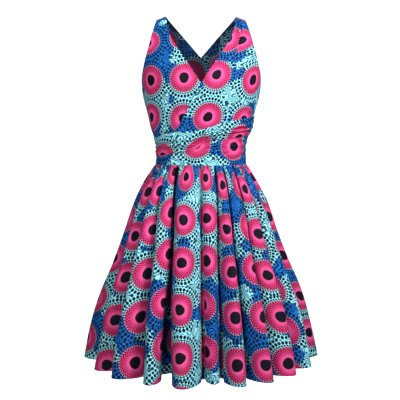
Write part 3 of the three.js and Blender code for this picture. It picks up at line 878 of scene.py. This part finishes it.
def skirt_cloth(folds, round_it, slant, drop):
    """Places on the flat cloth, fold by fold. Between two crests part of the cloth is tucked
    in, so the print jumps there, and near the waist it is drawn together."""
    drawn = 1 + GATHER["draw"] * np.exp(-drop / GATHER["reach"])
    strips = []
    for i, fold in enumerate(folds.rows[:-1]):
        own = round_it[:, i * FOLD_COLUMNS : (i + 1) * FOLD_COLUMNS + 1]
        crest = own[:, FOLD_COLUMNS // 2, None]
        beside = fold["beside"] - fold["drift"] * drop / SKIRT_DROP
        across = (own - crest) * drawn - beside + i * ROUNDELS_APART + fold["skip"] * PITCH[0]
        down = fold["row"] + fold["rows_skipped"] * PITCH[1] - slant[:, None]
        strips.append(np.stack(np.broadcast_arrays(across, down), axis=-1))
    return np.concatenate(strips, axis=1)


def panel_normals(grid):
    """Normals of a grid's inner columns, facing away from the dress's axis."""
    inner = grid[:, 1:-1]
    normals = unit(np.cross(np.gradient(inner, axis=0), grid[:, 2:] - grid[:, :-2]))
    return normals * np.sign((normals * inner * (1, 1, 0)).sum())


def skirt_panel(name, folds, neighbour, crease_table, sizes):
    count = len(folds.by) - 1
    place = np.linspace(0, count, count * FOLD_COLUMNS + 1)[None, :]
    drop = refine(SKIRT_LEVELS, SKIRT_PARTS)[:, None]
    place, drop = np.broadcast_arrays(place, drop)
    points = skirt_points(folds, place, drop)
    step = 1 / FOLD_COLUMNS
    last = len(neighbour.by) - 1
    down = drop[:, :1]
    before = skirt_points(neighbour, np.full(down.shape, last - step), down)
    after = skirt_points(neighbour, np.full(down.shape, step), down)
    normals = panel_normals(np.concatenate([before, points, after], axis=1))
    hem = float(lengths(points[-1:], axis=1)[0, -1])
    crest = points[:, FOLD_COLUMNS // 2 + (count // 2) * FOLD_COLUMNS]
    slant = lengths(crest, axis=0)
    relief = skirt_relief(crease_table, place, drop, folds)
    points = points + unit(normals * (1, 1, 0)) * relief[..., None]
    normals[:, 1:-1] = panel_normals(points)
    uv = skirt_cloth(folds, lengths(points, axis=1), slant, down)
    cuts = np.arange(1, count) * FOLD_COLUMNS
    obj = shell(name, points, normals, uv, WALL, sizes.cloth / MM, cuts)
    flat = (round(hem * MM, 3), round(float(slant[-1]) * MM, 3))
    area = flat[0] * flat[1] * (1 + CUT_WAIST) / 2
    finish_piece(obj, [name], area)
    row = int(np.argmin(np.abs(slant[-1] - slant - sizes.hem_row / MM)))
    stitch_along(points[row], normals[row], WALL)


class DRESS_OT_skirt(bpy.types.Operator):
    """Makes the front and back panels of the gathered skirt"""

    bl_idname = "dress.skirt"
    bl_label = "Skirt"

    def execute(self, context):
        sizes = context.scene.dress_sizes
        skirt_panel("skirt_front", FRONT_FOLDS, BACK_FOLDS, FRONT_SKIRT_CREASES, sizes)
        skirt_panel("skirt_back", BACK_FOLDS, FRONT_FOLDS, BACK_SKIRT_CREASES, sizes)
        return {"FINISHED"}


# ---------------------------------------------------------------------------------------------
# Node trees
# ---------------------------------------------------------------------------------------------
class Value:
    """A socket of a shader tree, on which sums are written as they are on numbers."""

    def __init__(self, nodes, socket):
        self.nodes = nodes
        self.socket = socket

    def sum(self, operation, first, second):
        work = self.nodes.math if self.socket.type == "VALUE" else self.nodes.vector
        return work(operation, first, second)

    def __add__(self, other):
        return self.sum("ADD", self, other)

    def __sub__(self, other):
        return self.sum("SUBTRACT", self, other)

    def __rsub__(self, other):
        return self.sum("SUBTRACT", other, self)

    def __mul__(self, other):
        return self.sum("MULTIPLY", self, other)

    def __truediv__(self, other):
        return self.sum("DIVIDE", self, other)


class Nodes:
    """Short words for building a shader tree. Each gives back a Value."""

    def __init__(self, tree):
        self.tree = tree

    def add(self, kind, inputs=(), **settings):
        """A new node. inputs holds what goes into its sockets, by name or in their order."""
        node = self.tree.nodes.new(kind)
        for name, value in settings.items():
            setattr(node, name, value)
        pairs = inputs.items() if isinstance(inputs, dict) else enumerate(inputs)
        for socket, value in pairs:
            self.put(node.inputs[socket], value)
        return node

    def put(self, socket, value):
        if isinstance(value, Value):
            self.tree.links.new(value.socket, socket)
        else:
            socket.default_value = value

    def get(self, node, output=0):
        return Value(self, node.outputs[output])

    def math(self, operation, *values):
        return self.get(self.add("ShaderNodeMath", values, operation=operation))

    def vector(self, operation, *values):
        output = "Value" if operation == "LENGTH" else "Vector"
        return self.get(self.add("ShaderNodeVectorMath", values, operation=operation), output)

    def split(self, vector):
        node = self.add("ShaderNodeSeparateXYZ", (vector,))
        return [self.get(node, axis) for axis in "XYZ"]

    def mix(self, share, a, b):
        node = self.add("ShaderNodeMix", {0: share, 6: a, 7: b}, data_type="RGBA")
        return self.get(node, 2)

    def band(self, value, low, high):
        """0 where the value lies below low, and 1 above high, with a soft step between."""
        inputs = (value, low, high, 0, 1)
        return self.get(self.add("ShaderNodeMapRange", inputs, interpolation_type="SMOOTHSTEP"))

    def noise(self, where, scale, detail=2.0, rough=0.5, output="Fac"):
        inputs = {"Vector": where, "Scale": scale, "Detail": detail, "Roughness": rough}
        return self.get(self.add("ShaderNodeTexNoise", inputs, noise_dimensions="3D"), output)


def group_tree(name, inputs, outputs):
    """A shader group. Gives its nodes, its inputs as Values and the node of its outputs."""
    tree = bpy.data.node_groups.new(name, "ShaderNodeTree")
    for in_out, sockets in (("INPUT", inputs), ("OUTPUT", outputs)):
        for label, kind in sockets.items():
            tree.interface.new_socket(label, in_out=in_out, socket_type="NodeSocket" + kind)
    n = Nodes(tree)
    source = n.add("NodeGroupInput")
    return n, {label: n.get(source, label) for label in inputs}, n.add("NodeGroupOutput")


PRINT_SIZES = ("Across", "Down", "Disc")
PRINT_COLOURS = ("Aqua", "Blue", "Line", "Pink", "Glow", "Pale", "Eye")

# The print's own measures. Radii are shares of a disc's, and scales of noise are for a metre.
LATTICE = {"waver": 30, "shake": (0.004, 0.004, 0), "stray": 0.1, "smallest": 0.97, "more": 0.06}
PATCHES = {"scale": 9.5, "ragged": 70, "raggedness": 0.06, "edge": (0.53, 0.545)}
WORMS = {"scale": 46, "bends": 6, "across": 60, "width": (0.2, 0.27), "dark": 0.95}
# Rings of drops: drops in the first ring and how many more in each next one, the share of its
# width that a drop leaves free along and across, and the edge of its oval
DROPS = Table(
    "start width count more rings along across",
    (1.01, 0.11, 40, 0, 1, 2.0, 2.2),
    (1.12, 0.25, 35, 4, 2, 2.1, 2.3),
)
DROP_EDGE = (0.75, 1.15)
RING_EDGE = 0.01
RINGS_END = {"scale": 26, "uneven": 1.1, "uneven_edge": (2.06, 2.09), "edge": (1.53, 1.56)}
DISC = {"glow": (0.34, 0.72), "edge": (0.92, 0.935), "rim": (0.995, 1.01), "beads": 40}
BEADS = {"edge": (-0.3, 0.1), "pale": 0.4}
CHECKS = {"rays": 30, "rings": 37, "dark": (0, 0.3), "pale": (-0.75, -0.4)}
DARK_DOTS = {"from": (0.5, 0.85), "dark": 0.85}
PALE_DOTS = {"from": (0.5, 0.7), "share": 0.22}
EYE = {"smallest": 0.33, "more": 0.03, "edge": (-0.012, 0.012)}
EYE_LUMPS = ((3, 0.012), (2, 0.016))  # how many round the eye, and how high
DYE = {"scale": 90, "detail": 3.0, "darkest": 0.9, "more": 0.2}
CRACKS = {"scale": 26, "detail": 4.0, "rough": 0.62, "lines": 7, "width": (0, 0.018), "pale": 0.16}
FULL_TURN = 2 * math.pi


def roundel_print():
    """Dotted roundels with dark eyes on an aqua ground with royal blue patches."""
    inputs = {"Cloth": "Vector"}
    inputs.update(dict.fromkeys(PRINT_SIZES, "Float"))
    inputs.update(dict.fromkeys(PRINT_COLOURS, "Color"))
    n, given, sink = group_tree("roundel_print", inputs, {"Color": "Color", "Ink": "Float"})
    cloth = given["Cloth"]

    # The roundel that a point belongs to, and the point's turn and reach in it
    pitch = n.get(n.add("ShaderNodeCombineXYZ", (given["Across"], given["Down"], 1)))
    shake = n.noise(cloth, LATTICE["waver"], output="Color") - (0.5, 0.5, 0.5)
    lattice = (cloth + shake * LATTICE["shake"]) / pitch
    cells = {"Vector": lattice, "Scale": 1, "Randomness": LATTICE["stray"]}
    near = n.add("ShaderNodeTexVoronoi", cells, voronoi_dimensions="2D", feature="F1")
    place = (lattice - n.get(near, "Position")) * pitch
    x, y, _ = n.split(place)
    own = n.split(n.get(near, "Color"))
    turn = n.math("ARCTAN2", y, x)
    size = given["Disc"] * (own[0] * LATTICE["more"] + LATTICE["smallest"])
    out = n.vector("LENGTH", place) / size

    # Ground: aqua with royal blue patches, both with dark wandering lines
    ragged = n.noise(cloth, PATCHES["ragged"], 1.0) * PATCHES["raggedness"]
    patch = n.band(n.noise(cloth, PATCHES["scale"], 1.0) + ragged, *PATCHES["edge"])
    clear = n.mix(patch, given["Aqua"], given["Blue"])
    across, down, _ = n.split(cloth)
    heights = n.noise(cloth, WORMS["scale"], 0.0) * WORMS["bends"] + (across + down) * WORMS["across"]
    worms = 1 - n.band(n.math("PINGPONG", heights, 0.5), *WORMS["width"])
    ground = n.mix(worms * WORMS["dark"], clear, given["Line"])

    # Rings of dark drops round the disc on a clear ground, small ones first
    uneven = n.noise(cloth, RINGS_END["scale"], 0.0) * RINGS_END["uneven"] + out
    uneven = n.band(uneven, *RINGS_END["uneven_edge"])
    rings = 1 - n.math("MAXIMUM", uneven, n.band(out, *RINGS_END["edge"]))
    inked = 0
    for row in DROPS.rows:
        step = (out - row["start"]) / row["width"]
        ring = n.math("FLOOR", step)
        drops = turn / FULL_TURN * (ring * row["more"] + row["count"]) + ring * 0.5
        along = (step - ring - 0.5) * row["along"]
        across = (n.math("FRACT", drops) - 0.5) * row["across"]
        oval = n.band(along * along + across * across, *DROP_EDGE)
        last = row["start"] + row["width"] * row["rings"]
        begun = n.band(out, row["start"], row["start"] + RING_EDGE)
        inside = begun * n.math("LESS_THAN", out, last)
        inked = n.math("MAXIMUM", inked, (1 - oval) * (inside * rings))
    around = n.mix(inked, n.mix(rings, ground, clear), given["Line"])

    # The disc: a light ring round the eye, fine dotted rings, and a beaded rim
    disc = n.mix(n.band(out, *DISC["glow"]), given["Glow"], given["Pink"])
    checks = n.math("SINE", turn * CHECKS["rays"]) * n.math("SINE", out * CHECKS["rings"])
    dark = n.band(checks, *CHECKS["dark"]) * n.band(out, *DARK_DOTS["from"])
    disc = n.mix(dark, disc, n.mix(DARK_DOTS["dark"], given["Pink"], given["Line"]))
    pale = (1 - n.band(checks, *CHECKS["pale"])) * n.band(out, *PALE_DOTS["from"])
    disc = n.mix(pale * PALE_DOTS["share"], disc, given["Pale"])
    beads = n.band(n.math("SINE", turn * DISC["beads"]), *BEADS["edge"])
    rim = n.mix(beads, n.mix(BEADS["pale"], given["Pink"], given["Pale"]), given["Line"])
    rimmed = n.mix(1 - n.band(out, *DISC["rim"]), around, rim)
    printed = n.mix(1 - n.band(out, *DISC["edge"]), rimmed, disc)

    # The eye, a little out of round
    edge = own[0] * EYE["more"] + EYE["smallest"]
    for (lumps, height), start in zip(EYE_LUMPS, own[1:]):
        edge = edge + n.math("SINE", turn * lumps + start * FULL_TURN) * height
    eye = 1 - n.band(out - edge, *EYE["edge"])
    printed = n.mix(eye, printed, given["Eye"])

    # Dye that took unevenly, and hairline cracks of the wax resist
    dye = n.noise(cloth, DYE["scale"], DYE["detail"]) * DYE["more"] + DYE["darkest"]
    dyed = n.get(n.add("ShaderNodeHueSaturation", {"Value": dye, "Color": printed}))
    crack = n.noise(cloth, CRACKS["scale"], CRACKS["detail"], CRACKS["rough"])
    crack = n.math("PINGPONG", crack * CRACKS["lines"], 0.5)
    hair = (1 - n.band(crack, *CRACKS["width"])) * CRACKS["pale"] * (1 - eye)
    n.put(sink.inputs["Color"], n.mix(hair, dyed, given["Pale"]))
    n.put(sink.inputs["Ink"], n.math("MAXIMUM", eye, inked))
    return n.tree


WEAVE = {"height": 0.5, "slubs": (900, 60, 1)}


def plain_weave():
    """Height of a plain weave, with slubs, from the cloth's own coordinates."""
    inputs = {"Cloth": "Vector", "Yarns": "Float"}
    n, given, sink = group_tree("plain_weave", inputs, {"Height": "Float"})
    across, down, _ = n.split(given["Cloth"] * (FULL_TURN, FULL_TURN, 0))
    warp = n.math("SINE", across * given["Yarns"])
    weft = n.math("SINE", down * given["Yarns"])
    slubs = n.noise(given["Cloth"] * WEAVE["slubs"], 1, 1.0)
    n.put(sink.inputs["Height"], warp * weft * WEAVE["height"] + slubs)
    return n.tree


YARNS = 1500  # in a metre
WEAVE_BUMP = {"Strength": 0.35, "Distance": 0.00012}
# Painted shade for the reverse side: the share of near-black mixed into its print, standing for the
# shadow inside the dress
REVERSE_PAINTED_SHADE = {"share": 0.72, "colour": (0.008, 0.012, 0.03, 1)}
COTTON_ROUGHNESS = {"plain": 0.72, "inked": -0.08}


def printed_cotton(name, look, groups, reverse):
    """Printed cotton. The reverse is the same print, darkened with painted shade that stands for the
    shadow inside the dress.
    """
    material = bpy.data.materials.new(name)
    material.use_nodes = True
    material.node_tree.nodes.clear()
    n = Nodes(material.node_tree)
    uv = n.get(n.add("ShaderNodeUVMap", uv_map="cloth"))
    inputs = {label: getattr(look, label.lower()) for label in PRINT_SIZES}
    inputs.update({label: (*getattr(look, label.lower()), 1) for label in PRINT_COLOURS})
    inputs["Cloth"] = uv
    design = n.add("ShaderNodeGroup", node_tree=groups["print"])
    for label, value in inputs.items():
        n.put(design.inputs[label], value)
    colour = n.get(design, "Color")
    if reverse:
        # Painted shade: the reverse faces are mixed most of the way to near-black
        colour = n.mix(REVERSE_PAINTED_SHADE["share"], colour, REVERSE_PAINTED_SHADE["colour"])
    weave = n.add("ShaderNodeGroup", node_tree=groups["weave"])
    n.put(weave.inputs["Cloth"], uv)
    n.put(weave.inputs["Yarns"], YARNS)
    bump = {**WEAVE_BUMP, "Height": n.get(weave)}
    cotton = n.add("ShaderNodeBsdfPrincipled")
    n.put(cotton.inputs["Base Color"], colour)
    roughness = n.get(design, "Ink") * COTTON_ROUGHNESS["inked"] + COTTON_ROUGHNESS["plain"]
    n.put(cotton.inputs["Roughness"], roughness)
    n.put(cotton.inputs["Normal"], n.get(n.add("ShaderNodeBump", bump)))
    cotton.inputs["Sheen Weight"].default_value = 0.02
    cotton.inputs["Sheen Roughness"].default_value = 0.4
    cotton.inputs["Specular IOR Level"].default_value = 0.08
    n.add("ShaderNodeOutputMaterial", {"Surface": n.get(cotton)})


def thread_material(colour, darker=0.9, grain=900):
    material = bpy.data.materials.new("thread")
    material.use_nodes = True
    n = Nodes(material.node_tree)
    shader = material.node_tree.nodes["Principled BSDF"]
    tone = n.noise(n.get(n.add("ShaderNodeTexCoord"), "Object"), grain)
    dark = (*(darker * part for part in colour), 1)
    n.put(shader.inputs["Base Color"], n.mix(tone, dark, (*colour, 1)))
    shader.inputs["Roughness"].default_value = 0.6


class DRESS_OT_cloth(bpy.types.Operator):
    """Makes the printed cotton and the thread"""

    bl_idname = "dress.cloth"
    bl_label = "Cloth"

    def execute(self, context):
        look = context.scene.dress_print
        groups = {"print": roundel_print(), "weave": plain_weave()}
        printed_cotton("roundel_cotton", look, groups, reverse=False)
        printed_cotton("roundel_cotton_reverse", look, groups, reverse=True)
        thread_material(look.thread)
        return {"FINISHED"}


# ---------------------------------------------------------------------------------------------
# Stitching
# ---------------------------------------------------------------------------------------------
def stitch_tree():
    """Geometry Nodes that lay stitches along paths."""
    tree = bpy.data.node_groups.new("stitch_rows", "GeometryNodeTree")
    sockets = {"Geometry": "Geometry", "Step": "Float", "Length": "Float", "Thread": "Float"}
    sockets["Material"] = "Material"
    for name, kind in sockets.items():
        tree.interface.new_socket(name, in_out="INPUT", socket_type="NodeSocket" + kind)
    tree.interface.new_socket("Geometry", in_out="OUTPUT", socket_type="NodeSocketGeometry")
    add = tree.nodes.new
    source, sink = add("NodeGroupInput"), add("NodeGroupOutput")
    curve = add("GeometryNodeMeshToCurve")
    even = add("GeometryNodeResampleCurve")
    even.mode = "LENGTH"
    stitch = add("GeometryNodeMeshIcoSphere")
    stitch.inputs["Radius"].default_value = 0.5
    stitch.inputs["Subdivisions"].default_value = 1
    tangent = add("GeometryNodeInputTangent")
    turn = add("FunctionNodeAlignRotationToVector")
    turn.axis = "X"
    size = add("ShaderNodeCombineXYZ")
    place = add("GeometryNodeInstanceOnPoints")
    real = add("GeometryNodeRealizeInstances")
    colour = add("GeometryNodeSetMaterial")
    for start, output, end, inlet in (
        (source, "Geometry", curve, "Mesh"),
        (curve, "Curve", even, "Curve"),
        (source, "Step", even, "Length"),
        (tangent, "Tangent", turn, "Vector"),
        (source, "Length", size, "X"),
        (source, "Thread", size, "Y"),
        (source, "Thread", size, "Z"),
        (even, "Curve", place, "Points"),
        (stitch, "Mesh", place, "Instance"),
        (turn, "Rotation", place, "Rotation"),
        (size, "Vector", place, "Scale"),
        (place, "Instances", real, "Geometry"),
        (real, "Geometry", colour, "Geometry"),
        (source, "Material", colour, "Material"),
        (colour, "Geometry", sink, "Geometry"),
    ):
        tree.links.new(start.outputs[output], end.inputs[inlet])
    return tree


class DRESS_OT_stitching(bpy.types.Operator):
    """Lays rows of stitches along the edges and the hem"""

    bl_idname = "dress.stitching"
    bl_label = "Stitching"

    def execute(self, context):
        sizes = context.scene.dress_sizes
        points, edges = [], []
        for path in PATHS:
            edges += [(len(points) + i, len(points) + i + 1) for i in range(len(path) - 1)]
            points += (path * MM).tolist()
        mesh = bpy.data.meshes.new("stitch_paths")
        mesh.from_pydata(points, edges, [])
        rows = bpy.data.objects.new("stitch_paths", mesh)
        context.scene.collection.objects.link(rows)
        modifier = rows.modifiers.new("stitches", "NODES")
        modifier.node_group = stitch_tree()
        values = {"Step": sizes.stitch_step, "Length": sizes.stitch, "Thread": sizes.thread}
        values["Material"] = bpy.data.materials["thread"]
        for item in modifier.node_group.interface.items_tree:
            if item.in_out == "INPUT" and item.name in values:
                modifier[item.identifier] = values[item.name]
        evaluated = rows.evaluated_get(context.evaluated_depsgraph_get())
        stitching = bpy.data.objects.new("stitching", bpy.data.meshes.new_from_object(evaluated))
        stitching.data.name = "stitching"
        bpy.data.objects.remove(rows)
        context.scene.collection.objects.link(stitching)
        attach(stitching, BODY)
        return {"FINISHED"}


# ---------------------------------------------------------------------------------------------
# Stage
# ---------------------------------------------------------------------------------------------
CHEST = (0, 0, 0.06)
MIDDLE = (0, 0, -0.45)
LIGHTS = (  # name, place, what it points at, and its side
    ("key", (1.5, -1.6, 1.2), CHEST, 0.8),
    ("fill", (-0.8, -2.2, 0.2), CHEST, 0.8),
    ("back", (0.4, 2.4, 0.9), MIDDLE, 1.6),
)
LIGHT_SPREAD = math.radians(95)


def area_light(name, place, target, side, power):
    light = bpy.data.lights.new(name, "AREA")
    light.size = side
    light.energy = power
    light.spread = LIGHT_SPREAD
    obj = bpy.data.objects.new(name, light)
    obj.location = place
    obj.rotation_euler = (Vector(target) - Vector(place)).to_track_quat("-Z", "Y").to_euler()
    bpy.context.scene.collection.objects.link(obj)


def sweep(floor, near=-5.0, far=3.2, half=7.0, bend=1.2, height=5.0):
    """A floor that turns up into a backdrop."""
    turn = np.linspace(0, math.pi / 2, 17)
    y = np.concatenate([[near], far + bend * np.sin(turn), [far + bend]])
    z = np.concatenate([[floor], floor + bend * (1 - np.cos(turn)), [floor + height]])
    points = [(x, a, b) for a, b in zip(y, z) for x in (-half, half)]
    faces = [(2 * i, 2 * i + 1, 2 * i + 3, 2 * i + 2) for i in range(len(y) - 1)]
    mesh = bpy.data.meshes.new("studio_floor")
    mesh.from_pydata(points, [], faces)
    mesh.shade_smooth()
    floor_object = bpy.data.objects.new("studio_floor", mesh)
    bpy.context.scene.collection.objects.link(floor_object)
    paper = bpy.data.materials.new("studio_paper")
    paper.use_nodes = True
    shader = paper.node_tree.nodes["Principled BSDF"]
    shader.inputs["Base Color"].default_value = (0.6, 0.6, 0.6, 1)
    shader.inputs["Roughness"].default_value = 0.9
    shader.inputs["Emission Color"].default_value = (1, 1, 1, 1)
    n = Nodes(paper.node_tree)
    seen = n.get(n.add("ShaderNodeLightPath"), "Is Camera Ray")
    n.put(shader.inputs["Emission Strength"], seen)
    mesh.materials.append(paper)


class DRESS_OT_stage(bpy.types.Operator):
    """Sets up the floor, the lights and the camera"""

    bl_idname = "dress.stage"
    bl_label = "Stage"

    def execute(self, context):
        look = context.scene.dress_stage
        scene = context.scene
        sweep(-look.floor_drop)
        for name, place, target, side in LIGHTS:
            area_light(name, place, target, side, getattr(look, name))
        world = bpy.data.worlds.new("studio")
        world.use_nodes = True
        n = Nodes(world.node_tree)
        sky = world.node_tree.nodes["Background"]
        sky.inputs["Color"].default_value = (1, 1, 1, 1)
        seen = n.get(n.add("ShaderNodeLightPath"), "Is Camera Ray")
        n.put(sky.inputs["Strength"], seen * (1 - look.sky) + look.sky)
        scene.world = world
        camera = bpy.data.objects.new("camera", bpy.data.cameras.new("camera"))
        camera.data.lens = look.lens
        camera.data.sensor_width = 36
        camera.location = (-look.aside, -look.distance, -look.eye_drop)
        camera.rotation_euler = Euler((math.radians(90) - look.tilt, 0, 0))
        scene.collection.objects.link(camera)
        scene.camera = camera
        scene.view_settings.view_transform = "Standard"
        return {"FINISHED"}


# ---------------------------------------------------------------------------------------------
# Add-on
# ---------------------------------------------------------------------------------------------
class DRESS_PT_panel(bpy.types.Panel):
    """Lists the steps that make the dress"""

    bl_idname = "DRESS_PT_panel"
    bl_label = "Dress"
    bl_space_type = "VIEW_3D"
    bl_region_type = "UI"
    bl_category = "Dress"

    def draw(self, context):
        for operator in OPERATORS:
            self.layout.operator(operator.bl_idname)
        for group in (context.scene.dress_sizes, context.scene.dress_print, context.scene.dress_stage):
            box = self.layout.box()
            for name in group.bl_rna.properties.keys():
                if name not in ("rna_type", "name"):
                    box.prop(group, name)


OPERATORS = (
    DRESS_OT_stage,
    DRESS_OT_cloth,
    DRESS_OT_front_bodice,
    DRESS_OT_midriff_bands,
    DRESS_OT_back_bodice,
    DRESS_OT_back_straps,
    DRESS_OT_skirt,
    DRESS_OT_stitching,
)
GROUPS = {"dress_sizes": DressSizes, "dress_print": PrintLook, "dress_stage": StageLook}


def register():
    for group in GROUPS.values():
        bpy.utils.register_class(group)
    for cls in (*OPERATORS, DRESS_PT_panel):
        bpy.utils.register_class(cls)
    for name, group in GROUPS.items():
        setattr(bpy.types.Scene, name, bpy.props.PointerProperty(type=group))


def unregister():
    for name in GROUPS:
        delattr(bpy.types.Scene, name)
    for cls in (DRESS_PT_panel, *reversed(OPERATORS), *reversed(GROUPS.values())):
        bpy.utils.unregister_class(cls)


def main():
    register()
    for operator in OPERATORS:
        area, step = operator.bl_idname.split(".")
        getattr(getattr(bpy.ops, area), step)()
    bpy.context.view_layer.update()


if __name__ == "__main__":
    main()
